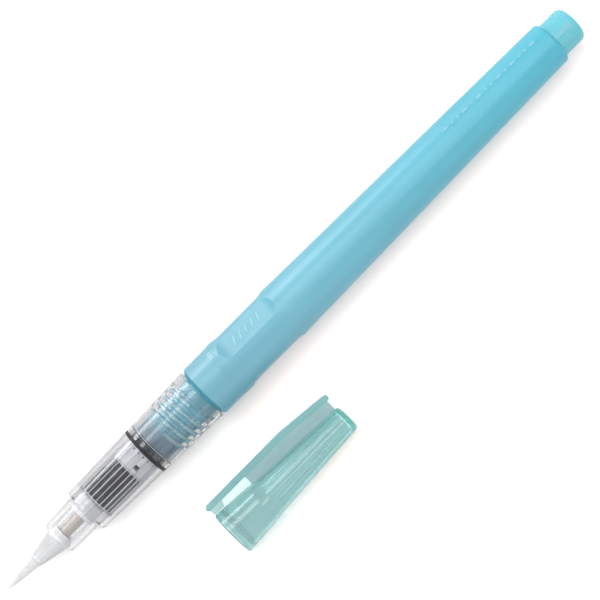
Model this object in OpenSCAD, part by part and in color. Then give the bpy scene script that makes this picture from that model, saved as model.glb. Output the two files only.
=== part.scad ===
// Brush pen with a squeezable ink barrel, a screw-on clear head and a clipped cap.
// The pen lies along X, brush tip towards -X, with its cap lying beside it on the -Y side.
// The origin is on the surface it lies on, under the middle of the whole set's box.
// Stations along the pen are distances from the brush tip, in millimetres.

/* [Whole pen] */
// Length from brush tip to tail
pen_len = 160.1; // [158:0.1:164]
// Radius of the grip, the widest part of the pen
grip_r = 6.15; // [6.1:0.01:6.3]
// Distance between the pen's axis and the cap's axis
cap_gap_y = 24.1; // [20:0.1:40]
// Station of the cap's mouth beside the pen
cap_mouth_s = 39.3; // [20:0.1:100]

/* [Brush] */
// Station where the fine tip meets the outer bristles
tuft_step_s = 8.2; // [7:0.1:9]
// Radius of the fine tip at that step
tip_r = 1.15; // [0.9:0.05:1.2]
// Radius of the outer bristles at the ferrule's mouth
tuft_r = 2.55; // [2.3:0.05:2.6]

/* [Clear head] */
// Station of the ferrule's front edge
ferrule_s = 14.2; // [14:0.1:15]
// Ferrule radius at its front edge
ferrule_front_r = 3.72; // [3.6:0.02:3.8]
// Ferrule radius at the housing's shoulder
ferrule_back_r = 4.1; // [4.05:0.01:4.12]
// Station of the housing's shoulder, which the cap's mouth meets
housing_s = 22.0; // [21.8:0.1:22.2]
// Housing radius at the shoulder
housing_front_r = 5.05; // [5:0.01:5.1]
// Station of the seal ring's front face
ring_s = 38.9; // [38.8:0.1:39]
// Thickness of the seal ring
ring_t = 0.6; // [0.5:0.05:0.7]
// Station of the rear collar's back edge
collar_end_s = 55.0; // [54.9:0.05:55.1]
// Collar radius at its back edge
collar_end_r = 5.95; // [5.9:0.01:5.98]

/* [Thread] */
// Distance the head moves for one turn
pitch = 1.87; // [1.8:0.01:1.9]
// Radius of the neck under the thread
neck_r = 4.3; // [4.2:0.05:4.3]
// Radius of the neck thread's crest
crest_r = 5.1; // [5:0.02:5.12]
// Turns of thread on the neck
neck_turns = 4; // [3:0.25:4.25]

/* [Barrel] */
// Station of the barrel's front shoulder
shoulder_s = 55.2; // [55.2:0.05:55.4]
// Barrel radius behind the shoulder
barrel_front_r = 6.03; // [6:0.01:6.08]
// Barrel radius at its back edge
barrel_back_r = 4.8; // [4.7:0.05:4.9]
// Station of the barrel's back edge
barrel_end_s = 154.4; // [154:0.1:155]
// Wall thickness of the barrel
wall = 0.85; // [0.8:0.05:0.95]
// Distance from the axis to each finger flat
flat_dist = 5.62; // [5.55:0.01:5.7]

/* [Tail plug] */
// Radius of the tail nub, which the cap pushes onto
nub_r = 4.0; // [3.95:0.01:4.05]

/* [Cap] */
// Cap length
cap_len = 33.1; // [32:0.1:34]
// Cap radius at its mouth
cap_mouth_r = 5.05; // [5:0.01:5.1]
// Bore radius inside the cap's mouth
cap_bore_r = 4.2; // [4.15:0.01:4.25]
// Depth of the mouth bore
cap_bore_len = 5.2; // [5:0.1:5.5]
// Distance from the cap's axis to the clip's outer face
clip_out = 7.75; // [7.4:0.05:8]
// Thickness of the clip's bar
clip_t = 1.4; // [1.2:0.05:1.5]
// Width of the clip's bar
clip_w = 3.2; // [2.6:0.1:3.6]

/* [Hidden] */
$fn = 96;

// Gap left between two pieces that sit against each other
gap = 0.05;
// Overlap that makes a cutter pass clean through a face
eps = 0.5;

pen_z = grip_r;
set_low_y = -cap_gap_y - cap_mouth_r;
pen_y = -(set_low_y + grip_r) / 2;
cap_y = pen_y - cap_gap_y;
// The cap lies on its cone, so its axis dips towards its closed end
cap_lip = 0.3;
cap_end_r = 3.0;
cap_corner_r = 0.9;
cap_cone_end_s = cap_len - cap_corner_r;
cap_dip = atan((cap_mouth_r - cap_end_r) / (cap_cone_end_s - cap_lip));
cap_z = cap_mouth_r * cos(cap_dip) + cap_lip * sin(cap_dip);

// Stations and radii that follow from the driving sizes
ferrule_bore_r = 2.75;
ferrule_end_s = housing_s + 3.2;
core_front_s = ferrule_end_s + gap;
sleeve_s = 34.5;
sleeve_r = 4.28;
housing_bore_r = sleeve_r + gap;
spigot_r = 4.95;
spigot_end_s = 40.6;
ring_bore_r = spigot_r + gap;
collar_s = ring_s + ring_t;
neck_s = 41.0;
neck_bore_r = 3.3;
thread_s = 44.4;
cone_s = 80.1;
cone_r = 6.06;
grip_front_s = 62.9;
grip_back_s = 78.5;
// The grip's flats: one under each of two fingers, and the same again across the pen
flat_turns = [32, 95, 212, 275];
rear_lip_r = 0.7;
core_bore_r = 1.0;
core_r = 3.65;
tail_bore_r = barrel_back_r - wall - 0.15;

// Radius on the straight line from (s0, r0) to (s1, r1), at station s
function line_r(s, s0, r0, s1, r1) = r0 + (r1 - r0) * (s - s0) / (s1 - s0);
// Points of a circular arc, from angle a0 to a1, in n steps
function arc(c, r, a0, a1, n = 8) =
    [for (i = [0:n]) c + r * [cos(a0 + (a1 - a0) * i / n), sin(a0 + (a1 - a0) * i / n)]];
// Outline points come as [station, radius] and are turned by rotate_extrude as [radius, station]
function swap(pts) = [for (p = pts) [p[1], p[0]]];

// Stands a shape drawn up the Z axis, with stations as heights, along the pen
module along_pen() {
    translate([-pen_len / 2, pen_y, pen_z])
        rotate([0, 90, 0])
            rotate([0, 0, 180])
                children();
}

// Puts a shape drawn up the Z axis from the cap's mouth where the cap lies
module along_cap() {
    translate([cap_mouth_s - pen_len / 2, cap_y, cap_z])
        rotate([0, 90 + cap_dip, 0])
            children();
}

// A solid of revolution from an outline of [station, radius] points, its seam turned to the underside
module turned(pts, seam = 180) {
    rotate([0, 0, seam])
        rotate_extrude()
            polygon(swap(pts));
}

// A helical ridge: profile points are [height along the axis, radius]
module helix_ridge(profile, start_s, turns, turn0) {
    per_turn = 36;
    steps = round(turns * per_turn);
    n = len(profile);
    points = [
        for (i = [0:steps])
            let (a = turn0 + i * 360 / per_turn, rise = start_s + i * pitch / per_turn)
                for (p = profile)
                    [p[1] * cos(a), p[1] * sin(a), rise + p[0]]
    ];
    sides = [
        for (i = [0:steps - 1])
            for (j = [0:n - 1])
                let (k = (j + 1) % n)
                    [i * n + j, i * n + k, (i + 1) * n + k, (i + 1) * n + j]
    ];
    first = [[for (j = [n - 1:-1:0]) j]];
    last = [[for (j = [0:n - 1]) steps * n + j]];
    polyhedron(points, concat(sides, first, last), convexity = 10);
}

module tip_bristles() {
    root_s = ferrule_s + 0.3;
    // A long point, fuller in the middle than a cone
    belly = [for (i = [0:16]) let (t = i / 16) [tuft_step_s * t, tip_r * pow(t, 0.6)]];
    color("white")
        along_pen()
            turned(concat(belly, [[root_s, tip_r], [root_s, 0]]));
}

module outer_bristles() {
    root_s = ferrule_s + 0.3;
    color("whitesmoke")
        along_pen()
            turned([
                [tuft_step_s - 0.2, tip_r + gap],
                [tuft_step_s + 0.1, 1.4],
                [ferrule_s, tuft_r],
                [root_s, tuft_r + 0.03],
                [root_s, tip_r + gap]
            ]);
}

module bristle_root() {
    front_s = ferrule_s + 0.35;
    back_s = front_s + 1.5;
    bore_r = 0.9;
    color("gainsboro")
        along_pen()
            turned([
                [front_s, bore_r],
                [front_s, ferrule_bore_r - gap],
                [front_s + 0.5, ferrule_bore_r - gap],
                [back_s, 1.9],
                [back_s, bore_r]
            ]);
}

module ferrule() {
    edge_r = 0.7;
    back_r = ferrule_back_r;
    color([0.85, 0.87, 0.87, 0.4])
        along_pen()
            turned(concat(
                [[ferrule_s, ferrule_bore_r]],
                arc([ferrule_s + edge_r, ferrule_front_r - edge_r], edge_r, 180, 92),
                [
                    [housing_s, back_r],
                    [ferrule_end_s, back_r],
                    [ferrule_end_s, ferrule_bore_r]
                ]
            ));
}

module wick() {
    body_r = 1.2;
    color("tan")
        along_pen()
            turned([
                [ferrule_s + 0.6, 0],
                [ferrule_s + 0.6, 0.85],
                [ferrule_s + 1.9, 0.85],
                [ferrule_s + 2.0, body_r],
                [ferrule_end_s, body_r],
                [ferrule_end_s, core_bore_r - gap],
                [sleeve_s + 0.9, core_bore_r - gap],
                [sleeve_s + 0.9, 0]
            ]);
}

module feed_collar() {
    front_s = housing_s - 1.0;
    inner_r = 1.25;
    color("white")
        along_pen()
            turned([
                [front_s, inner_r],
                [front_s, ferrule_bore_r - gap],
                [ferrule_end_s, ferrule_bore_r - gap],
                [ferrule_end_s, inner_r]
            ]);
}

module front_housing() {
    edge_r = 0.7;
    back_r = line_r(ring_s, housing_s, housing_front_r, collar_end_s, collar_end_r);
    front_bore_r = ferrule_back_r + gap;
    color([0.88, 0.9, 0.9, 0.4])
        along_pen()
            turned(concat(
                [[housing_s, front_bore_r]],
                arc([housing_s + edge_r, housing_front_r - edge_r], edge_r, 180, 92),
                [
                    [ring_s - gap, back_r],
                    [ring_s - gap, spigot_r],
                    [spigot_end_s, spigot_r],
                    [spigot_end_s, housing_bore_r],
                    [ferrule_end_s, housing_bore_r],
                    [ferrule_end_s, front_bore_r]
                ]
            ));
}

module ink_core() {
    color("dimgray")
        along_pen()
            turned([
                [core_front_s, core_bore_r],
                [core_front_s, core_r],
                [sleeve_s - gap, core_r],
                [sleeve_s - gap, core_bore_r]
            ]);
}

// A white cage of thin lengthwise ribs between two rings
module rib_cage() {
    cage_r = 3.95;
    cage_bore_r = core_r + gap;
    rib_count = 22;
    rib_t = 0.15;
    ring_len = 0.25;
    back_s = sleeve_s - gap;
    color("gainsboro")
        along_pen()
            intersection() {
                turned([
                    [core_front_s, cage_bore_r],
                    [core_front_s, cage_r],
                    [back_s, cage_r],
                    [back_s, cage_bore_r]
                ]);
                union() {
                    for (s = [core_front_s, back_s - ring_len])
                        translate([0, 0, s])
                            cylinder(r = cage_r + 1, h = ring_len);
                    for (i = [0:rib_count - 1])
                        rotate([0, 0, i * 360 / rib_count])
                            translate([cage_bore_r - 0.5, -rib_t / 2, core_front_s])
                                cube([1.5, rib_t, back_s - core_front_s]);
                }
            }
}

module valve_sleeve() {
    back_s = ring_s - 0.1;
    inner_r = 3.3;
    vent_count = 22;
    vent_r = 0.19;
    window = [1.1, 1.0];
    front_r = 4.0;
    flare_s = [36.6, 38.2];
    window_s = 35.8;
    window_turn = 16;
    color("white")
        along_pen()
            difference() {
                turned([
                    [sleeve_s, core_bore_r],
                    [sleeve_s, front_r - 0.2],
                    [sleeve_s + 0.2, front_r],
                    [flare_s[0], front_r],
                    [flare_s[1], sleeve_r],
                    [back_s, sleeve_r],
                    [back_s, inner_r],
                    [sleeve_s + 1, inner_r],
                    [sleeve_s + 1, core_bore_r]
                ]);
                rotate([0, 0, window_turn])
                    translate([inner_r - eps, -window[0] / 2, window_s - window[1] / 2])
                        cube([2, window[0], window[1]]);
                for (i = [0:vent_count - 1])
                    rotate([0, 0, (i + 0.5) * 360 / vent_count])
                        translate([inner_r - eps, 0, back_s - 0.5])
                            rotate([0, 90, 0])
                                cylinder(r = vent_r, h = 2);
            }
}

module flow_pad() {
    color("lightgray")
        along_pen()
            translate([0, 0, sleeve_s + 1 + gap])
                cylinder(r = 3.2, h = ring_s - 0.1 - sleeve_s - 1 - 2 * gap);
}

module seal_ring() {
    front_r = line_r(ring_s, housing_s, housing_front_r, collar_end_s, collar_end_r);
    color("black")
        along_pen()
            turned([
                [ring_s, ring_bore_r],
                [ring_s, front_r - 0.1],
                [ring_s + 0.1, front_r + 0.02],
                [collar_s - 0.1, front_r + 0.02],
                [collar_s, front_r - 0.1],
                [collar_s, ring_bore_r]
            ]);
}

// Plug between the valve sleeve and the barrel's neck
module stopper() {
    band_r = 4.2;
    bore_r = 0.6;
    plug_r = neck_bore_r - 0.1;
    plug_end_s = neck_s + 4.6;
    color("dimgray")
        along_pen()
            turned([
                [ring_s, bore_r],
                [ring_s, band_r],
                [spigot_end_s, band_r],
                [spigot_end_s, plug_r],
                [plug_end_s - 0.6, plug_r],
                [plug_end_s, plug_r - 0.4],
                [plug_end_s, bore_r]
            ]);
}

module neck_gasket() {
    front_s = spigot_end_s + gap;
    back_s = neck_s - 0.1;
    outer_r = 4.25;
    color("white")
        along_pen()
            turned([
                [front_s, neck_bore_r],
                [front_s, outer_r],
                [back_s, outer_r],
                [back_s, neck_bore_r]
            ]);
}

module rear_collar() {
    front_r = line_r(collar_s, housing_s, housing_front_r, collar_end_s, collar_end_r);
    bore_r = crest_r + 0.12;
    ridge_start_s = thread_s + pitch / 2;
    // The ridge stands between the neck's crests, half a pitch from them
    ridge = [[-0.42, bore_r + 0.1], [0.42, bore_r + 0.1], [0.17, neck_r + 0.22], [-0.17, neck_r + 0.22]];
    color([0.88, 0.9, 0.9, 0.4])
        along_pen() {
            turned([
                [collar_s + gap, spigot_r + gap / 2],
                [collar_s + gap, front_r],
                [collar_end_s - 0.1, collar_end_r],
                [collar_end_s, collar_end_r - 0.1],
                [collar_end_s, bore_r],
                [spigot_end_s + 0.3, bore_r],
                [spigot_end_s + 0.1, spigot_r + gap / 2]
            ]);
            helix_ridge(ridge, ridge_start_s, neck_turns + 0.2, 0);
        }
}

// One scooped finger flat, drawn on the side that faces straight up
module grip_flat() {
    flat_front_s = 65.8;
    flat_back_s = 75.8;
    scoop_r = 5.8;
    rotate([90, 0, 0])
        linear_extrude(height = 2 * grip_r, center = true)
            union() {
                translate([flat_dist, flat_front_s])
                    square([scoop_r, flat_back_s - flat_front_s]);
                for (s = [flat_front_s, flat_back_s])
                    translate([flat_dist + scoop_r, s])
                        circle(r = scoop_r);
            }
}

module barrel() {
    rim_s = barrel_end_s - rear_lip_r;
    thread = [[-0.2, crest_r], [0.2, crest_r], [0.5, neck_r - 0.1], [-0.5, neck_r - 0.1]];
    color([0.49, 0.78, 0.86])
        along_pen() {
            difference() {
                turned(concat(
                    [
                        [neck_s, neck_bore_r],
                        [neck_s, neck_r - 0.2],
                        [neck_s + 0.2, neck_r],
                        [shoulder_s, neck_r],
                        [shoulder_s, 5.1],
                        [shoulder_s + 0.8, barrel_front_r],
                        [grip_front_s - 1.6, barrel_front_r + 0.01],
                        [grip_front_s - 0.6, grip_r - 0.03],
                        [grip_front_s, grip_r],
                        [grip_back_s, grip_r],
                        [grip_back_s + 0.6, grip_r - 0.03],
                        [cone_s, cone_r],
                        [rim_s, barrel_back_r]
                    ],
                    arc([rim_s, barrel_back_r - rear_lip_r], rear_lip_r, 85, 0),
                    [
                        [barrel_end_s, tail_bore_r],
                        [barrel_end_s - 8, tail_bore_r],
                        [cone_s, cone_r - wall],
                        [shoulder_s + 1.6, barrel_front_r - wall],
                        [shoulder_s - 0.6, neck_bore_r]
                    ]
                ));
                for (a = flat_turns)
                    rotate([0, 0, -a])
                        grip_flat();
            }
            helix_ridge(thread, thread_s, neck_turns, 0);
        }
}

module tail_plug() {
    edge_r = 1.3;
    plug_s = barrel_end_s - 5.4;
    inner_r = 3.1;
    color([0.55, 0.82, 0.88])
        along_pen()
            turned(concat(
                [
                    [plug_s, inner_r],
                    [plug_s, tail_bore_r - 0.03],
                    [barrel_end_s + 0.02, tail_bore_r - 0.03],
                    [barrel_end_s + 0.02, nub_r]
                ],
                arc([pen_len - edge_r, nub_r - edge_r], edge_r, 90, 0),
                [
                    [pen_len, 0],
                    [pen_len - 0.7, 0],
                    [pen_len - 0.7, inner_r]
                ]
            ));
}

// Outline of the cap's outside, from the mouth's lip to the centre of its closed end
function cap_outline() = concat(
    [
        [0, cap_mouth_r - cap_lip],
        [cap_lip, cap_mouth_r],
        [8.7, 4.5],
        [10.7, 4.2]
    ],
    arc([cap_cone_end_s, cap_end_r - cap_corner_r], cap_corner_r, 88, 0),
    [[cap_len, 0]]
);

module cap_shell() {
    cavity_s = 10.7;
    cavity_r = 3.5;
    cavity_end_s = 31.7;
    cavity_end_r = 2.25;
    rib_count = 6;
    rib_h = 0.25;
    rib_t = 0.3;
    rib_ends = [cavity_s + 0.5, cavity_end_s - 0.6];
    rib_rs = [for (s = rib_ends) line_r(s, cavity_s, cavity_r, cavity_end_s, cavity_end_r)];
    color([0.6, 0.85, 0.82])
        along_cap() {
            difference() {
                turned(concat([[0, 0]], cap_outline()), 0);
                turned([
                    [-eps, 0],
                    [-eps, cap_bore_r],
                    [cap_bore_len, cap_bore_r],
                    [cap_bore_len, 3.95],
                    [8.4, 3.95],
                    [cavity_s, cavity_r],
                    [cavity_end_s, cavity_end_r],
                    [cavity_end_s + 0.4, cavity_end_r - 0.5],
                    [cavity_end_s + 0.4, 0]
                ], 0);
            }
            for (i = [0:rib_count - 1])
                rotate([0, 0, 30 + i * 360 / rib_count])
                    rotate([90, 0, 0])
                        linear_extrude(height = rib_t, center = true)
                            polygon([
                                [rib_rs[0] - rib_h, rib_ends[0]],
                                [rib_rs[0] + rib_h, rib_ends[0]],
                                [rib_rs[1] + rib_h, rib_ends[1]],
                                [rib_rs[1] - rib_h, rib_ends[1]]
                            ]);
        }
}

// The clip's bar, its tooth at the mouth and the web that joins it to the shell
module cap_clip() {
    bend_s = 21;
    end_out = 6.6;
    window_s = 9.9;
    tooth_end_s = 3.5;
    web_t = 0.9;
    inner = clip_out - clip_t;
    color([0.5, 0.82, 0.78])
        along_cap()
            difference() {
                rotate([90, 0, 90]) {
                    linear_extrude(height = clip_w, center = true)
                        polygon([
                            [inner, 0.3],
                            [inner + 0.5, -0.2],
                            [clip_out - 0.5, -0.2],
                            [clip_out, 0.3],
                            [clip_out, bend_s],
                            [end_out, cap_len - 0.6],
                            [end_out - 0.2, cap_len - 0.15],
                            [end_out - 0.6, cap_len],
                            [end_out - 1.1, cap_len - 0.1],
                            [end_out - 1.35, cap_len - 0.5],
                            [inner, bend_s]
                        ]);
                    linear_extrude(height = clip_w - 0.8, center = true)
                        polygon([
                            [5.15, 0.6],
                            [5.4, 0.3],
                            [inner + 0.2, 0.3],
                            [inner + 0.2, tooth_end_s],
                            [5.15, tooth_end_s - 0.6]
                        ]);
                    linear_extrude(height = web_t, center = true)
                        polygon([
                            [2, window_s],
                            [inner + 0.2, window_s],
                            [inner + 0.2, bend_s],
                            [end_out - 1.0, cap_len - 0.8],
                            [2, cap_len - 0.8]
                        ]);
                }
                turned(concat([[0, 0]], cap_outline()), 0);
            }
}

tip_bristles();
outer_bristles();
bristle_root();
ferrule();
wick();
feed_collar();
front_housing();
ink_core();
rib_cage();
valve_sleeve();
flow_pad();
seal_ring();
stopper();
neck_gasket();
rear_collar();
barrel();
tail_plug();
cap_shell();
cap_clip();
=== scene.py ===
"""Looks of a squeeze-barrel brush pen and the cap beside it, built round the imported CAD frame."""

import math
import random

import bmesh
import bpy
from mathutils import Matrix, Vector


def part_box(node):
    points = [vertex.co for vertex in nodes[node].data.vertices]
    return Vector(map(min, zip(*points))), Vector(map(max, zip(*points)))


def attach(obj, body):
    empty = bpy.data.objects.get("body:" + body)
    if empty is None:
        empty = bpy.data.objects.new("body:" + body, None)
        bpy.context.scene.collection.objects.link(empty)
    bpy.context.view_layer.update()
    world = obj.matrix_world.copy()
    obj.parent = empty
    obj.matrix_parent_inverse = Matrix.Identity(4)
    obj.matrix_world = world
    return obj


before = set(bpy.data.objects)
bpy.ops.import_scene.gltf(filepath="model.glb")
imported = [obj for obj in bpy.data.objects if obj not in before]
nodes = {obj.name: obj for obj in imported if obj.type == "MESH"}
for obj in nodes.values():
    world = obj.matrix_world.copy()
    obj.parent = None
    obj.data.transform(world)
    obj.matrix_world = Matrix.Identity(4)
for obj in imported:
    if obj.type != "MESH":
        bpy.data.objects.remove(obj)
bpy.context.view_layer.update()
MM = 0.001

# ---------------------------------------------------------------- places taken from the frame
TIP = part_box("tip_bristles")[0].x
BARREL_LOW, BARREL_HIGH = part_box("barrel")
PEN_Y = (BARREL_LOW.y + BARREL_HIGH.y) / 2
PEN_Z = (BARREL_LOW.z + BARREL_HIGH.z) / 2
CLIP_LOW, CLIP_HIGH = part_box("cap_clip")

# ---------------------------------------------------------------- sizes of the CAD solids, in mm
CAP_LIP, CAP_MOUTH_R, CAP_BORE_R = 0.3, 5.05, 4.2
CAP_CONE_END, CAP_END_R = 32.2, 3.0
CLIP_BAR, CLIP_TOOTH = 1.4, 3.6
BARREL_FRONT_R, GRIP_R, GRIP_FLAT, NUB_R = 6.03, 6.12, 5.62, 4.0
THREAD_FLANK, THREAD_REACH = (4.62, 5.02), (43.5, 53.0)
# The side of the barrel that its raised marks are on, in degrees from straight up towards +Y
MARK_TURN = 32.0


def pen_point(station, radius, turn):
    """A point on the pen: mm behind the brush tip, mm from the axis, and a turn in degrees.

    The turn starts straight up and goes towards +Y."""
    a = math.radians(turn)
    return Vector((
        TIP + station * MM,
        PEN_Y + radius * MM * math.sin(a),
        PEN_Z + radius * MM * math.cos(a),
    ))


# ---------------------------------------------------------------- camera, lights and floor
def add_camera():
    """Looks straight down, with the pen running from the picture's lower left to its upper right."""
    lens, sensor, distance = 111.0, 36.0, 0.370
    middle_s, aside = 82.2, -0.64
    right = Vector((0.7048, -0.7094, 0.0)).normalized()
    back = Vector((0.0, 0.0, 1.0))
    up = back.cross(right)
    data = bpy.data.cameras.new("camera")
    data.lens = lens
    data.sensor_width = sensor
    data.clip_start = 0.01
    camera = bpy.data.objects.new("camera", data)
    turn = Matrix((right, up, back)).transposed().to_4x4()
    look_at = pen_point(middle_s, 0, 0) + Vector((0, aside * MM, 0))
    camera.matrix_world = Matrix.Translation(look_at + back * distance) @ turn
    bpy.context.scene.collection.objects.link(camera)
    bpy.context.scene.camera = camera


WARM, COOL = (1.0, 0.985, 0.965), (0.98, 0.99, 1.0)


def add_area(name, place, size, watts, colour, mirrored=True):
    """A round lamp that faces the middle of the floor.

    mirrored is whether its image shows in glossy pieces and through clear ones."""
    data = bpy.data.lights.new(name, "AREA")
    data.shape = "DISK"
    data.size = size
    data.energy = watts
    data.color = colour
    lamp = bpy.data.objects.new(name, data)
    lamp.location = place
    lamp.rotation_euler = (-Vector(place)).to_track_quat("-Z", "Y").to_euler()
    lamp.visible_glossy = mirrored
    lamp.visible_transmission = mirrored
    bpy.context.scene.collection.objects.link(lamp)


def add_studio():
    """A pale sky, brighter overhead than at the horizon, and five soft lamps."""
    horizon, zenith = (0.32, 0.32, 0.33, 1), (0.62, 0.62, 0.628, 1)
    scene = bpy.context.scene
    scene.view_settings.view_transform = "Standard"
    world = bpy.data.worlds.new("studio")
    scene.world = world
    world.use_nodes = True
    tree = world.node_tree
    coords = tree.nodes.new("ShaderNodeTexCoord")
    split = tree.nodes.new("ShaderNodeSeparateXYZ")
    height = tree.nodes.new("ShaderNodeValToRGB")
    height.color_ramp.elements[0].position = 0.05
    height.color_ramp.elements[0].color = horizon
    height.color_ramp.elements[1].position = 0.7
    height.color_ramp.elements[1].color = zenith
    sky = tree.nodes["Background"]
    tree.links.new(coords.outputs["Generated"], split.inputs["Vector"])
    tree.links.new(split.outputs["Z"], height.inputs["Fac"])
    tree.links.new(height.outputs["Color"], sky.inputs["Color"])
    add_area("overhead", (0.0, 0.27, 0.88), size=0.46, watts=2.1, colour=WARM, mirrored=False)
    add_area("sheen", (0.0, 0.46, 0.80), size=0.4, watts=1.5, colour=WARM)
    add_area("glint", (0.24, 0.0, 0.88), size=0.25, watts=0.7, colour=WARM)
    add_area("side", (-0.05, 0.9, 0.2), size=0.36, watts=2.45, colour=COOL)
    add_area("fill", (0.05, -0.85, 0.55), size=0.8, watts=1.2, colour=COOL)


def add_floor():
    """A sheet of paper just under the pen, which reaches far enough for low views."""
    half, gap = 9.0, 0.02
    mesh = bpy.data.meshes.new("floor")
    corners = [(-half, -half, 0), (half, -half, 0), (half, half, 0), (-half, half, 0)]
    mesh.from_pydata(corners, [], [(0, 1, 2, 3)])
    floor = bpy.data.objects.new("floor", mesh)
    floor.location.z = -gap * MM
    bpy.context.scene.collection.objects.link(floor)
    mesh.materials.append(paper())


# ---------------------------------------------------------------- material building blocks
class Shader:
    """A material with one Principled node and short calls for the procedural nodes that feed it."""

    def __init__(self, name):
        self.mat = bpy.data.materials.new(name)
        self.mat.use_nodes = True
        self.tree = self.mat.node_tree
        self.bsdf = self.tree.nodes["Principled BSDF"]
        self.out = self.tree.nodes["Material Output"]
        self.coords = None

    def new(self, kind, **values):
        node = self.tree.nodes.new(kind)
        for key, value in values.items():
            setattr(node, key, value)
        return node

    def link(self, a, b):
        self.tree.links.new(a, b)

    def set(self, **values):
        for key, value in values.items():
            self.bsdf.inputs[key.replace("_", " ")].default_value = value

    def space(self, sx, sy, sz):
        """Object coordinates, in metres, stretched by these factors."""
        if self.coords is None:
            self.coords = self.new("ShaderNodeTexCoord")
        mapping = self.new("ShaderNodeMapping")
        mapping.inputs["Scale"].default_value = (sx, sy, sz)
        self.link(self.coords.outputs["Object"], mapping.inputs["Vector"])
        return mapping.outputs["Vector"]

    def noise(self, scale, stretch=(1, 1, 1), detail=3.0, rough=0.55):
        """Noise with about scale cells to the metre, times the stretch along each axis."""
        node = self.new("ShaderNodeTexNoise")
        node.inputs["Scale"].default_value = scale
        node.inputs["Detail"].default_value = detail
        node.inputs["Roughness"].default_value = rough
        self.link(self.space(*stretch), node.inputs["Vector"])
        return node.outputs["Fac"]

    def ramp(self, value, low, high, a=0.35, b=0.65):
        """Blends from colour low to colour high as the value goes from a to b."""
        node = self.new("ShaderNodeValToRGB")
        node.color_ramp.elements[0].position = a
        node.color_ramp.elements[1].position = b
        node.color_ramp.elements[0].color = (*low, 1)
        node.color_ramp.elements[1].color = (*high, 1)
        self.link(value, node.inputs["Fac"])
        return node.outputs["Color"]

    def levels(self, value, low, high):
        """Maps a 0 to 1 value to low to high."""
        node = self.new("ShaderNodeMapRange")
        node.inputs["To Min"].default_value = low
        node.inputs["To Max"].default_value = high
        self.link(value, node.inputs["Value"])
        return node.outputs["Result"]

    def bump(self, value, depth_mm, strength=0.5):
        node = self.new("ShaderNodeBump")
        node.inputs["Strength"].default_value = strength
        node.inputs["Distance"].default_value = depth_mm * MM
        self.link(value, node.inputs["Height"])
        self.link(node.outputs["Normal"], self.bsdf.inputs["Normal"])

    def colour(self, socket):
        self.link(socket, self.bsdf.inputs["Base Color"])

    def roughness(self, socket):
        self.link(socket, self.bsdf.inputs["Roughness"])

    def along_pen(self, stops):
        """A colour that changes along the pen: stops are pairs of mm behind the tip and colour."""
        split = self.new("ShaderNodeSeparateXYZ")
        self.link(self.space(1, 1, 1), split.inputs["Vector"])
        first, last = stops[0][0], stops[-1][0]
        reach = self.new("ShaderNodeMapRange")
        reach.inputs["From Min"].default_value = TIP + first * MM
        reach.inputs["From Max"].default_value = TIP + last * MM
        self.link(split.outputs["X"], reach.inputs["Value"])
        node = self.new("ShaderNodeValToRGB")
        marks = node.color_ramp.elements
        while len(marks) < len(stops):
            marks.new(0.5)
        for mark, (station, colour) in zip(marks, stops):
            mark.position = (station - first) / (last - first)
            mark.color = (*colour, 1)
        self.link(reach.outputs["Result"], node.inputs["Fac"])
        return node.outputs["Color"]

    def thread_crest_highlight(self):
        """1 on the flanks of the neck's thread, just under its crests, and 0 everywhere else: the
        mask of a painted highlight on the crests.
        """
        middle = self.new("ShaderNodeVectorMath", operation="SUBTRACT")
        middle.inputs[1].default_value = (0, PEN_Y, PEN_Z)
        self.link(self.space(1, 1, 1), middle.inputs[0])
        across = self.new("ShaderNodeVectorMath", operation="MULTIPLY")
        across.inputs[1].default_value = (0, 1, 1)
        self.link(middle.outputs["Vector"], across.inputs[0])
        radius = self.new("ShaderNodeVectorMath", operation="LENGTH")
        self.link(across.outputs["Vector"], radius.inputs[0])
        low, high = (r * MM for r in THREAD_FLANK)
        flank = self.band(radius.outputs["Value"], low, high, 0.08 * MM)
        split = self.new("ShaderNodeSeparateXYZ")
        self.link(self.space(1, 1, 1), split.inputs["Vector"])
        front, back = (TIP + s * MM for s in THREAD_REACH)
        neck = self.band(split.outputs["X"], front, back, 0.3 * MM)
        return self.product(flank, neck)

    def product(self, a, b):
        node = self.new("ShaderNodeMath", operation="MULTIPLY")
        self.link(a, node.inputs[0])
        self.link(b, node.inputs[1])
        return node.outputs["Value"]

    def band(self, value, low, high, soft):
        """1 where the value lies between low and high, fading to 0 outside them."""
        rise = self.new("ShaderNodeMapRange")
        rise.inputs["From Min"].default_value = low - soft
        rise.inputs["From Max"].default_value = low
        fall = self.new("ShaderNodeMapRange")
        fall.inputs["From Min"].default_value = high + soft
        fall.inputs["From Max"].default_value = high
        self.link(value, rise.inputs["Value"])
        self.link(value, fall.inputs["Value"])
        return self.product(rise.outputs["Result"], fall.outputs["Result"])

    def mixed(self, factor, colour, other):
        """Blends a colour towards another one, given as numbers, by a factor."""
        node = self.new("ShaderNodeMix", data_type="RGBA")
        self.link(factor, node.inputs["Factor"])
        self.link(colour, node.inputs[6])
        node.inputs[7].default_value = (*other, 1)  # 6 and 7 are this node's colours A and B
        return node.outputs[2]  # and 2 is its colour result

    def scaled(self, colour, factor):
        """A colour made lighter or darker by a factor near 1."""
        node = self.new("ShaderNodeVectorMath", operation="SCALE")
        self.link(colour, node.inputs[0])
        self.link(factor, node.inputs["Scale"])
        return node.outputs["Vector"]

    def absorb(self, colour, density):
        """Deepens the colour with the thickness that light goes through."""
        volume = self.new("ShaderNodeVolumeAbsorption")
        volume.inputs["Color"].default_value = (*colour, 1)
        volume.inputs["Density"].default_value = density
        self.link(volume.outputs["Volume"], self.out.inputs["Volume"])

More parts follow.
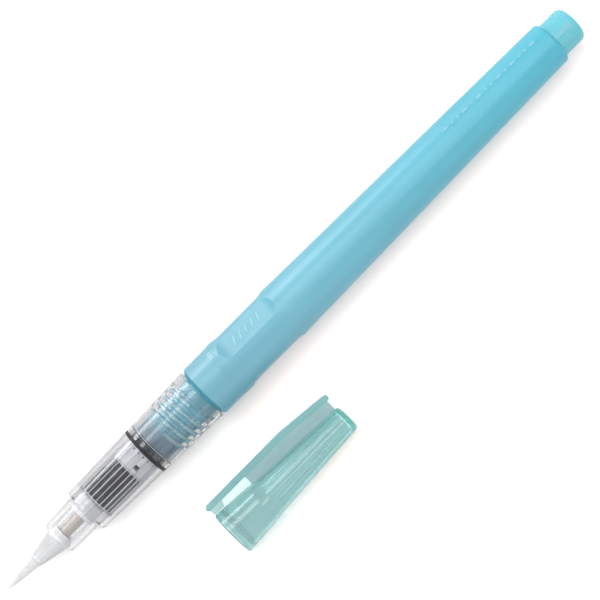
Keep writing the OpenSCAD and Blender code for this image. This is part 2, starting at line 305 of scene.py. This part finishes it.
    def let_lamps_through(self, tint):
        """Shadow rays pass as through tinted film, so that clear plastic casts a light shadow."""
        path = self.new("ShaderNodeLightPath")
        clear = self.new("ShaderNodeBsdfTransparent")
        clear.inputs["Color"].default_value = (*tint, 1)
        mix = self.new("ShaderNodeMixShader")
        self.link(path.outputs["Is Shadow Ray"], mix.inputs["Fac"])
        self.link(self.bsdf.outputs["BSDF"], mix.inputs[1])
        self.link(clear.outputs["BSDF"], mix.inputs[2])
        self.link(mix.outputs["Shader"], self.out.inputs["Surface"])


# ---------------------------------------------------------------- materials
def paper():
    """Plain white paper, lifted to a clean white where the camera sees it directly.

    The lift is warm along the barrel, whose blue spills onto the paper, neutral at the pen's clear
    end, and brighter far out, where the lamps fade."""
    beside_head, beside_barrel, far = (0.36, 0.345, 0.335), (0.375, 0.24, 0.195), (0.62, 0.62, 0.62)
    s = Shader("floor_paper")
    s.colour(s.ramp(s.noise(900.0), (0.925, 0.92, 0.915), (0.945, 0.94, 0.935)))
    s.set(Roughness=0.9)
    path = s.new("ShaderNodeLightPath")
    lift = s.new("ShaderNodeBsdfDiffuse")
    both = s.new("ShaderNodeAddShader")
    near = s.along_pen(((50.0, beside_head), (62.0, beside_barrel)))
    reach = s.new("ShaderNodeVectorMath", operation="LENGTH")
    s.link(s.space(6.2, 14.0, 0.0), reach.inputs[0])
    away = s.new("ShaderNodeMapRange")
    away.inputs["From Min"].default_value = 0.75
    s.link(reach.outputs["Value"], away.inputs["Value"])
    tone = s.mixed(away.outputs["Result"], near, far)
    s.link(s.scaled(tone, path.outputs["Is Camera Ray"]), lift.inputs["Color"])
    s.link(s.bsdf.outputs["BSDF"], both.inputs[0])
    s.link(lift.outputs["BSDF"], both.inputs[1])
    s.link(both.outputs["Shader"], s.out.inputs["Surface"])
    return s.mat


def clear_plastic(name, low, high, ior=1.49, pale=None):
    """Polished clear styrene, with the fine lengthwise lines of a moulded tube.

    A low ior shows what is inside straight on, and gets its gloss back from a coat. pale is a
    stretch of the pen, in mm behind the tip, where the tint is painted lighter: painted light over
    a band that otherwise renders dark."""
    s = Shader(name)
    s.set(IOR=ior, Transmission_Weight=1.0, Coat_Weight=0.4 if ior < 1.4 else 0.0)
    lines = s.noise(1.0, (10.0, 1700.0, 1700.0), detail=2.0)
    tint = s.ramp(lines, low, high, 0.36, 0.56)
    if pale:
        # Painted light: over this stretch the tint is blended towards a light grey.
        split = s.new("ShaderNodeSeparateXYZ")
        s.link(s.space(1, 1, 1), split.inputs["Vector"])
        pale_band = s.band(split.outputs["X"], TIP + pale[0] * MM, TIP + pale[1] * MM, 0.5 * MM)
        tint = s.mixed(s.levels(pale_band, 0.0, 0.8), tint, (0.95, 0.95, 0.96))
    s.colour(tint)
    s.roughness(s.levels(s.noise(700.0), 0.02, 0.07))
    s.bump(lines, 0.025, 0.14)
    s.let_lamps_through((0.78, 0.785, 0.79))
    return s.mat


# The barrel's colour at stations along it. Under the collar the slender neck is painted dark,
# standing in for the dark stopper seen through it and for painted shade behind it; at the
# shoulder's rim a narrow line is painted a deeper, more saturated teal, a painted edge shade; and
# the tail's end is bluer than the grip.
BARREL_STATIONS = (
    (41.0, (0.125, 0.178, 0.232)),
    (43.6, (0.135, 0.220, 0.285)),
    (45.6, (0.150, 0.380, 0.465)),
    (51.5, (0.145, 0.425, 0.520)),
    (53.0, (0.115, 0.335, 0.410)),
    (54.9, (0.120, 0.350, 0.430)),
    (55.2, (0.020, 0.380, 0.490)),
    (56.0, (0.160, 0.430, 0.535)),
    (80.0, (0.149, 0.460, 0.582)),
    (120.0, (0.099, 0.473, 0.602)),
    (154.0, (0.065, 0.482, 0.617)),
)


def barrel_plastic():
    """Milky blue polyethylene: cloudy inside, with fine lengthwise draw marks and a satin skin."""
    s = Shader("barrel_plastic")
    # The colour along the pen holds painted shade on the neck under the collar and a painted edge
    # shade at the shoulder's rim.
    along = s.along_pen(BARREL_STATIONS)
    cloud = s.noise(160.0, (0.35, 1, 1), detail=4.0)
    crests = s.thread_crest_highlight()
    clouded = s.scaled(along, s.levels(cloud, 0.92, 1.08))
    # The thread's crests are painted pale: a painted highlight along them.
    s.colour(s.mixed(crests, clouded, (0.60, 0.70, 0.73)))
    s.roughness(s.levels(s.noise(2400.0), 0.37, 0.45))
    s.bump(s.noise(5200.0, (0.25, 1, 1), detail=2.0), 0.006, 0.3)
    s.set(
        IOR=1.5,
        Specular_IOR_Level=1.0,
        Subsurface_Weight=0.4,
        Subsurface_Radius=(0.35, 0.9, 1.0),
        Subsurface_Scale=2.0 * MM,
    )
    return s.mat


def mark_plastic(name, low, high):
    """The barrel's plastic where it stands proud of the skin: painted paler than the barrel, a
    painted highlight on the raised faces, and glossier.
    """
    s = Shader(name)
    s.colour(s.ramp(s.noise(900.0), low, high))
    s.roughness(s.levels(s.noise(2400.0), 0.28, 0.38))
    s.bump(s.noise(5200.0), 0.004, 0.2)
    return s.mat


def tail_plastic():
    """The same plastic as the barrel, thinner and so clearer."""
    s = Shader("tail_plastic")
    cloud = s.noise(220.0, (0.35, 1, 1), detail=4.0)
    s.colour(s.ramp(cloud, (0.15, 0.555, 0.665), (0.18, 0.60, 0.705)))
    s.roughness(s.levels(s.noise(2400.0), 0.22, 0.32))
    s.bump(s.noise(4200.0, (0.25, 1, 1), detail=2.0), 0.005, 0.25)
    s.set(
        IOR=1.5,
        Subsurface_Weight=0.6,
        Subsurface_Radius=(0.4, 0.9, 1.0),
        Subsurface_Scale=2.6 * MM,
    )
    return s.mat


def cap_plastic(name, low, high, shadow, tooth=None):
    """Clear green-blue plastic with a soft haze, deeper where it is seen edge on.

    shadow is the tint of the light that the lamps send through it. tooth is the greyer tint of the
    clip's frosted tooth, if the piece has one."""
    s = Shader(name)
    haze = s.noise(300.0, (0.3, 1, 1), detail=4.0)
    tint = s.ramp(haze, low, high)
    if tooth:
        split = s.new("ShaderNodeSeparateXYZ")
        s.link(s.space(1, 1, 1), split.inputs["Vector"])
        front, outside = CLIP_LOW.x, CLIP_HIGH.y - CLIP_BAR * MM
        by_length = s.band(split.outputs["X"], front, front + CLIP_TOOTH * MM, 0.1 * MM)
        by_side = s.band(split.outputs["Y"], outside - 2 * MM, outside, 0.1 * MM)
        tint = s.mixed(s.product(by_length, by_side), tint, tooth)
    s.colour(tint)
    s.roughness(s.levels(s.noise(1500.0, (0.3, 1, 1)), 0.06, 0.13))
    s.bump(s.noise(420.0, (0.25, 1, 1)), 0.02, 0.2)
    s.set(IOR=1.25, Transmission_Weight=0.86, Coat_Weight=0.6, Coat_Roughness=0.12)
    s.let_lamps_through(shadow)
    s.absorb((0.0, 0.94, 0.88), 235.0)
    return s.mat


def bristle_fibre():
    """White synthetic hairs lying along the brush."""
    s = Shader("bristle_fibre")
    hairs = s.noise(1.0, (90.0, 9000.0, 9000.0), rough=0.7)
    s.colour(s.ramp(hairs, (0.66, 0.67, 0.69), (0.88, 0.89, 0.90), 0.3, 0.6))
    s.roughness(s.levels(hairs, 0.38, 0.62))
    s.bump(hairs, 0.05, 0.6)
    s.set(
        Subsurface_Weight=0.12,
        Subsurface_Radius=(1.0, 1.0, 1.0),
        Subsurface_Scale=0.4 * MM,
    )
    return s.mat


def filament():
    """One hair: pale, a little glossy, with darker and lighter lengths."""
    s = Shader("filament")
    lengths = s.noise(1.0, (260.0, 5200.0, 5200.0))
    s.colour(s.ramp(lengths, (0.70, 0.71, 0.73), (0.87, 0.88, 0.89)))
    s.roughness(s.levels(s.noise(2600.0), 0.26, 0.38))
    s.set(IOR=1.5)
    return s.mat


def felt(name, low, high, grain):
    """Pressed or porous fibre, with a rough grain."""
    s = Shader(name)
    pores = s.noise(grain, (0.35, 1, 1), detail=5.0, rough=0.7)
    s.colour(s.ramp(pores, low, high))
    s.roughness(s.levels(pores, 0.75, 0.95))
    s.bump(pores, 0.08, 0.7)
    return s.mat


def moulded(name, low, high, rough, ridges=0.0):
    """Opaque moulded plastic or rubber: a faint mottle, and lengthwise ridges if asked for."""
    s = Shader(name)
    mottle = s.noise(1800.0, (0.4, 1, 1))
    s.colour(s.ramp(mottle, low, high))
    s.roughness(s.levels(mottle, rough * 0.85, rough * 1.2))
    if ridges:
        s.bump(s.noise(1.0, (60.0, ridges, ridges), detail=2.0), 0.05, 0.6)
    else:
        s.bump(mottle, 0.01, 0.35)
    return s.mat


def dress_frame():
    """Gives every CAD node its material."""
    housing = clear_plastic(
        "housing_plastic", (0.56, 0.57, 0.60), (0.78, 0.785, 0.80), pale=(21.4, 24.6)
    )
    collar = clear_plastic("collar_plastic", (0.74, 0.75, 0.77), (0.94, 0.94, 0.95), ior=1.2)
    tube = clear_plastic("ferrule_plastic", (0.80, 0.81, 0.83), (0.97, 0.97, 0.98))
    white = moulded("white_plastic", (0.86, 0.87, 0.88), (0.93, 0.93, 0.94), 0.42)
    sleeve = moulded(
        "sleeve_plastic", (0.86, 0.87, 0.89), (0.97, 0.97, 0.98), 0.4, ridges=4200.0
    )
    rubber = moulded("seal_rubber", (0.008, 0.008, 0.009), (0.022, 0.022, 0.024), 0.42)
    stopper = moulded("stopper_plastic", (0.045, 0.055, 0.068), (0.09, 0.105, 0.125), 0.4)
    shell = cap_plastic(
        "cap_plastic", (0.745, 0.86, 0.87), (0.795, 0.915, 0.925), shadow=(0.54, 0.54, 0.54)
    )
    clip = cap_plastic(
        "clip_plastic", (0.59, 0.615, 0.65), (0.635, 0.66, 0.695),
        shadow=(1.0, 0.95, 0.95), tooth=(1.0, 0.80, 0.84),
    )
    looks = {
        "tip_bristles": bristle_fibre(),
        "bristle_root": white,
        "ferrule": tube,
        "wick": felt("wick_felt", (0.50, 0.45, 0.415), (0.66, 0.60, 0.56), 2600.0),
        "feed_collar": white,
        "front_housing": housing,
        "ink_core": felt("core_fibre", (0.03, 0.032, 0.036), (0.12, 0.12, 0.13), 3000.0),
        "rib_cage": white,
        "valve_sleeve": sleeve,
        "flow_pad": felt("pad_fibre", (0.05, 0.05, 0.055), (0.12, 0.12, 0.13), 3400.0),
        "seal_ring": rubber,
        "stopper": stopper,
        "neck_gasket": moulded("gasket_rubber", (0.74, 0.78, 0.80), (0.84, 0.87, 0.89), 0.5),
        "rear_collar": collar,
        "barrel": barrel_plastic(),
        "tail_plug": tail_plastic(),
        "cap_shell": shell,
        "cap_clip": clip,
    }
    looks["outer_bristles"] = looks["tip_bristles"]
    for name, mat in looks.items():
        nodes[name].data.materials.clear()
        nodes[name].data.materials.append(mat)


# ---------------------------------------------------------------- pieces built in mesh code
def finish_piece(name, bm, mat, body):
    """Turns the built mesh into a piece that rides on its body."""
    bmesh.ops.recalc_face_normals(bm, faces=bm.faces)
    mesh = bpy.data.meshes.new(name)
    bm.to_mesh(mesh)
    bm.free()
    for face in mesh.polygons:
        face.use_smooth = True
    mesh.materials.append(mat)
    piece = bpy.data.objects.new(name, mesh)
    bpy.context.scene.collection.objects.link(piece)
    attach(piece, body)


def add_hair(bm, path, thick):
    """A three-sided tube along a path of points, which tapers from its first point to its last."""
    rings = []
    count = len(path)
    for i, point in enumerate(path):
        ahead = path[min(i + 1, count - 1)] - path[max(i - 1, 0)]
        side = ahead.cross(Vector((0, 0.3, 1))).normalized()
        over = ahead.cross(side).normalized()
        t = i / (count - 1)
        r = thick * (1.0 - 0.75 * t ** 2)
        ring = []
        for k in range(3):
            a = k * math.tau / 3
            outward = side * math.cos(a) + over * math.sin(a)
            ring.append(bm.verts.new(point + outward * r))
        rings.append(ring)
    for lower, upper in zip(rings, rings[1:]):
        for k in range(3):
            bm.faces.new((lower[k], lower[(k + 1) % 3], upper[(k + 1) % 3], upper[k]))
    bm.faces.new(rings[0][::-1])
    bm.faces.new(rings[-1])


def tip_radius(station):
    """Radius of the fine tip, as the CAD solid has it, in mm."""
    step, full = 8.2, 1.15
    return full * min(station / step, 1.0) ** 0.6


def tuft_radius(station):
    """Radius of the outer bristles, as the CAD solid has it, in mm."""
    front, back = 8.3, 14.2
    front_r, back_r = 1.4, 2.55
    t = (station - front) / (back - front)
    return front_r + (back_r - front_r) * max(0.0, min(1.0, t))


def add_bristles():
    """Separate hairs over the two bristle solids: real fibres, and a ragged step between the two."""
    rng = random.Random(41)
    mat = filament()
    bm = bmesh.new()
    hairs, steps = 150, 8
    sink, bend_s, bend = 0.03, 8.6, 0.16
    for i in range(hairs):
        turn = i * 360 / hairs + rng.uniform(-1.4, 1.4)
        start = 14.5
        end = rng.uniform(7.7, 8.9)
        lift = rng.uniform(0.0, 0.05)
        path = []
        for k in range(steps + 1):
            s = start + (end - start) * k / steps
            radius = tuft_radius(s) + lift - sink
            if s < bend_s:
                radius -= (bend_s - s) * bend
            path.append(pen_point(s, radius, turn + rng.uniform(-0.5, 0.5)))
        add_hair(bm, path, 0.055 * MM)
    finish_piece("tuft_hairs", bm, mat, "head")
    bm = bmesh.new()
    hairs, steps, sink = 90, 10, 0.01
    for i in range(hairs):
        turn = i * 360 / hairs + rng.uniform(-2, 2)
        start = 9.0
        end = 0.05 + 2.4 * rng.random() ** 2.2
        path = []
        for k in range(steps + 1):
            s = start + (end - start) * k / steps
            radius = max(tip_radius(s) - sink, 0.0)
            path.append(pen_point(s, radius, turn + 10 * math.sin(s * 0.7 + i)))
        add_hair(bm, path, 0.045 * MM)
    finish_piece("tip_hairs", bm, mat, "head")


def add_pill(bm, place, length, width, height, bends=1):
    """A raised mark with round ends: place maps (along, across, up), in mm, to a point on the pen.

    bends is the number of straight lengths in each long side, more than 1 where it goes round a
    curve."""
    arc_steps, sink = 6, 0.05
    straight = max(length - width, 0.0) / 2
    outline = []
    for end, first in ((1, -90), (-1, 90)):
        for k in range(arc_steps + 1):
            a = math.radians(first + 180 * k / arc_steps)
            outline.append((end * straight + width / 2 * math.cos(a), width / 2 * math.sin(a)))
        for k in range(1, bends):
            outline.append((end * straight * (1 - 2 * k / bends), end * width / 2))
    # rings from a foot sunk in the skin to a rounded top: each one's share of the width, and height
    levels = ((1.0, -sink), (1.0, height * 0.35), (0.86, height * 0.85), (0.6, height))
    rings = []
    for shrink, up in levels:
        ring = []
        for u, v in outline:
            core = max(-straight, min(straight, u))
            ring.append(bm.verts.new(place(core + (u - core) * shrink, v * shrink, up)))
        rings.append(ring)
    count = len(outline)
    for lower, upper in zip(rings, rings[1:]):
        for k in range(count):
            bm.faces.new((lower[k], lower[(k + 1) % count], upper[(k + 1) % count], upper[k]))
    # top and bottom are closed by strips across, from one round end to the other
    nose = arc_steps // 2
    for ring in (rings[0], rings[-1]):
        for k in range(nose, nose + count // 2):
            facing, after = (arc_steps - k) % count, (arc_steps - k - 1) % count
            corners = (ring[k], ring[k + 1], ring[after], ring[facing])
            bm.faces.new(dict.fromkeys(corners))


def barrel_radius(station):
    """Radius of the barrel's long cone, as the CAD solid has it, in mm."""
    front, back = 80.1, 153.7
    front_r, back_r = 6.06, 4.8
    return front_r + (back_r - front_r) * (station - front) / (back - front)


MARK_WIDTH, MARK_HEIGHT = 0.5, 0.055


def add_grip_marks(mat):
    """Five raised slanting bars on one finger flat, where a thumb pushes."""
    bm = bmesh.new()
    bars, first_s, pitch, lean = 5, 67.4, 1.65, math.radians(68)
    n = math.radians(MARK_TURN)
    for i in range(bars):
        station = first_s + i * pitch

        def place(u, v, up, station=station):
            along = station + u * math.cos(lean) - v * math.sin(lean)
            across = u * math.sin(lean) + v * math.cos(lean)
            out = GRIP_FLAT + up
            return Vector((
                TIP + along * MM,
                PEN_Y + (out * math.sin(n) + across * math.cos(n)) * MM,
                PEN_Z + (out * math.cos(n) - across * math.sin(n)) * MM,
            ))

        add_pill(bm, place, 2.2, MARK_WIDTH, MARK_HEIGHT)
    finish_piece("grip_marks", bm, mat, "barrel")


def add_barrel_marks(mat):
    """A row of raised dots and dashes along the barrel's back half."""
    bm = bmesh.new()
    station, gap = 125.6, 0.85
    dash, dot = 1.5, 0.7
    half = (dash, dot, dot, dash, dot, dash, dot)
    for length in half + half[::-1]:

        def place(u, v, up, middle=station + length / 2):
            s = middle + u
            r = barrel_radius(s)
            return pen_point(s, r + up, MARK_TURN + math.degrees(v / r))

        add_pill(bm, place, length, MARK_WIDTH, MARK_HEIGHT)
        station += length + gap
    finish_piece("barrel_marks", bm, mat, "barrel")


def add_ticks(mat):
    """Two fine lines across the foot of the grip, where the mould's slides meet."""
    bm = bmesh.new()
    proud = 0.01
    foot_s, foot_r, slope = 61.3, BARREL_FRONT_R + proud, GRIP_R - BARREL_FRONT_R - proud
    for station in (61.55, 62.0):

        def place(u, v, up, station=station):
            r = foot_r + slope * (station + v - foot_s)
            return pen_point(station + v, r + up, MARK_TURN + 12 + math.degrees(u / r))

        add_pill(bm, place, length=2.2, width=0.22, height=0.06, bends=8)
    finish_piece("grip_ticks", bm, mat, "barrel")


def cap_point(depth, radius, turn):
    """A point on the cap: mm in from its mouth, mm from its axis, and a turn as on the pen."""
    low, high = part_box("cap_shell")
    dip = math.atan2(CAP_MOUTH_R - CAP_END_R, CAP_CONE_END - CAP_LIP)
    along = Vector((math.cos(dip), 0, -math.sin(dip)))
    upward = Vector((math.sin(dip), 0, math.cos(dip)))
    mouth = Vector((
        low.x + (CAP_MOUTH_R - CAP_LIP) * math.sin(dip) * MM,
        (low.y + high.y) / 2,
        low.z + (CAP_MOUTH_R * math.cos(dip) + CAP_LIP * math.sin(dip)) * MM,
    ))
    a = math.radians(turn)
    side = Vector((0, 1, 0)) * math.sin(a) + upward * math.cos(a)
    return mouth + (along * depth + side * radius) * MM


def add_snap_bead():
    """A fine double ring just inside the cap's mouth."""
    bm = bmesh.new()
    around = 72
    section = ((-0.16, 0.03), (-0.06, -0.05), (0.06, -0.05), (0.16, 0.03))
    for depth in (1.55, 2.05):
        rings = []
        for i in range(around):
            turn = 360 * i / around
            points = [cap_point(depth + d, CAP_BORE_R + r, turn) for d, r in section]
            rings.append([bm.verts.new(point) for point in points])
        for i, ring in enumerate(rings):
            after = rings[(i + 1) % around]
            for k in range(len(section)):
                j = (k + 1) % len(section)
                bm.faces.new((ring[k], ring[j], after[j], after[k]))
    finish_piece("snap_bead", bm, nodes["cap_shell"].data.materials[0], "cap")


def add_tail_ribs(mat):
    """Two fine ribs side by side on top of the tail nub."""
    bm = bmesh.new()
    middle_s = 156.9
    for side in (-0.28, 0.28):

        def place(u, v, up, side=side):
            return pen_point(middle_s + u, NUB_R + up, math.degrees((side + v) / NUB_R))

        add_pill(bm, place, length=4.0, width=0.2, height=0.03)
    finish_piece("tail_ribs", bm, mat, "barrel")


add_camera()
add_studio()
add_floor()
dress_frame()
add_bristles()
# The raised marks and the tail ribs are painted paler than the barrel: a painted highlight.
raised = mark_plastic("mark_plastic", (0.21, 0.55, 0.67), (0.26, 0.60, 0.72))
add_grip_marks(raised)
add_barrel_marks(raised)
# The ticks are painted paler still: a painted highlight along their fine ridges.
add_ticks(mark_plastic("tick_plastic", (0.42, 0.70, 0.78), (0.50, 0.76, 0.84)))
add_tail_ribs(raised)
add_snap_bead()

bpy.context.view_layer.update()
